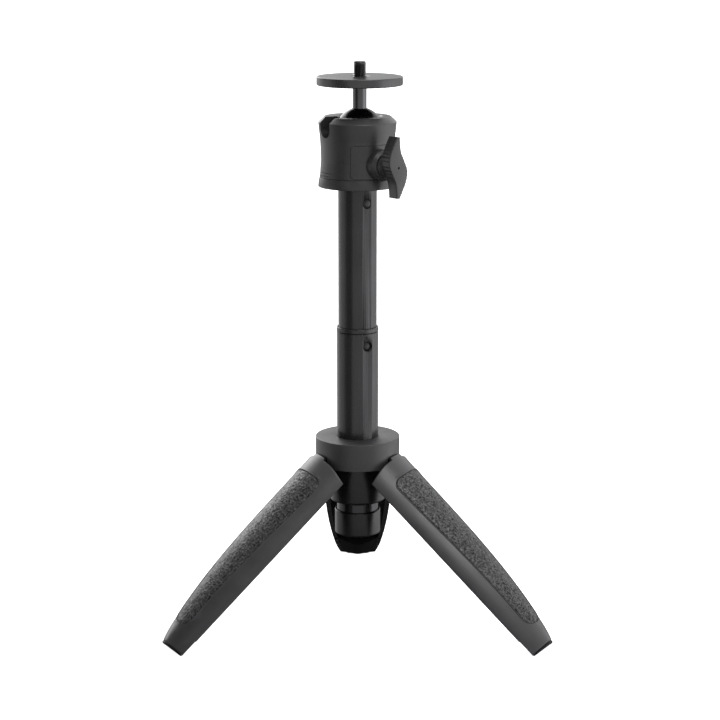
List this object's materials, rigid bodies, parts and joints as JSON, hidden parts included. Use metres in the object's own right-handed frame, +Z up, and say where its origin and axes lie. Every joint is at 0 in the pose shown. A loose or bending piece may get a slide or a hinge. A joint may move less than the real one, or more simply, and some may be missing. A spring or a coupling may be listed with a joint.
{
  "type": "mini tripod",
  "caption": "Small table tripod with folding grip legs, a telescoping push-button column and a lockable ball head with a round camera plate and screw stud.",
  "frame": {"origin": "middle of the footprint's bounding box, on the surface that the feet stand on", "axes": "+Z up along the column, front along -Y; one leg points straight back along +Y"},
  "size_m": [0.179, 0.1582, 0.2612],
  "materials": {
    "leg_shell": "satin moulded charcoal",
    "grip": "pebbled grip",
    "foot": "matt rubber",
    "black_moulding": "dark satin",
    "hub": "satin charcoal",
    "tube": "dark anodised",
    "housing": "satin charcoal",
    "knob": "satin charcoal",
    "ball": "polished black",
    "plate": "dark anodised",
    "steel": "dark steel"
  },
  "bodies": {
    "hub": {"hub_collar": "hub", "hub_sleeve": "black_moulding", "guide_bush": "black_moulding", "rear_hinge_pin": "steel", "left_hinge_pin": "steel", "right_hinge_pin": "steel"},
    "rear_leg": {"rear_leg_shell": "leg_shell", "rear_leg_grip_pad": "grip", "rear_leg_liner": "black_moulding", "rear_leg_foot": "foot"},
    "left_leg": {"left_leg_shell": "leg_shell", "left_leg_grip_pad": "grip", "left_leg_liner": "black_moulding", "left_leg_foot": "foot"},
    "right_leg": {"right_leg_shell": "leg_shell", "right_leg_grip_pad": "grip", "right_leg_liner": "black_moulding", "right_leg_foot": "foot"},
    "lower_column": {"lower_tube": "tube", "lower_tube_rim": "tube", "column_end_cap": "black_moulding"},
    "upper_column": {"upper_tube": "tube", "upper_tube_glide": "black_moulding", "upper_button_spring": "steel", "lower_button_spring": "steel", "head_foot": "housing", "tube_top_plug": "black_moulding", "pan_bolt": "steel"},
    "upper_button": {"upper_lock_button": "black_moulding"},
    "lower_button": {"lower_lock_button": "black_moulding"},
    "head": {"ball_housing": "housing", "ball_seat": "black_moulding", "knob_collar": "knob", "brake_wedge": "black_moulding"},
    "knob": {"knob_wing": "knob", "knob_screw": "steel"},
    "ball": {"ball": "ball"},
    "camera_mount": {"camera_plate": "plate", "camera_stud": "steel"}
  },
  "joints": [
    {"name": "rear_leg_fold", "type": "hinge", "parent": "hub", "child": "rear_leg", "pos_m": [0, -0.00834, 0.0787], "axis": [-1, 0, 0], "range_deg": [0, 50.4]},
    {"name": "left_leg_fold", "type": "hinge", "parent": "hub", "child": "left_leg", "pos_m": [-0.01178, -0.02874, 0.0787], "axis": [0.5, -0.866, 0], "range_deg": [0, 50.4]},
    {"name": "right_leg_fold", "type": "hinge", "parent": "hub", "child": "right_leg", "pos_m": [0.01178, -0.02874, 0.0787], "axis": [0.5, 0.866, 0], "range_deg": [0, 50.4]},
    {"name": "lower_column_slide", "type": "slide", "parent": "hub", "child": "lower_column", "axis": [0, 0, 1], "range_m": [-0.0495, 0.0043]},
    {"name": "upper_column_slide", "type": "slide", "parent": "lower_column", "child": "upper_column", "axis": [0, 0, 1], "range_m": [-0.0659, 0]},
    {"name": "upper_button_press", "type": "slide", "parent": "upper_column", "child": "upper_button", "axis": [-0.5, 0.866, 0], "range_m": [0, 0.0013], "stiffness_N_per_m": 800, "springref_m": -0.0004, "deforming": ["upper_button_spring"]},
    {"name": "lower_button_press", "type": "slide", "parent": "upper_column", "child": "lower_button", "axis": [-0.5, 0.866, 0], "range_m": [0, 0.0013], "stiffness_N_per_m": 800, "springref_m": -0.0004, "deforming": ["lower_button_spring"]},
    {"name": "head_pan", "type": "hinge", "parent": "upper_column", "child": "head", "pos_m": [0, -0.02194, 0.216], "axis": [0, 0, 1], "continuous": true},
    {"name": "knob_turn", "type": "hinge", "parent": "head", "child": "knob", "pos_m": [0, -0.02194, 0.216], "axis": [0.6157, -0.788, 0], "range_deg": [0, 360]},
    {"name": "ball_tilt", "type": "hinge", "parent": "head", "child": "ball", "pos_m": [0.001, -0.02194, 0.2295], "axis": [0.5, -0.866, 0], "range_deg": [-33, 82]},
    {"name": "plate_turn", "type": "hinge", "parent": "ball", "child": "camera_mount", "pos_m": [0.001, -0.02194, 0.2525], "axis": [0, 0, 1], "continuous": true}
  ]
}
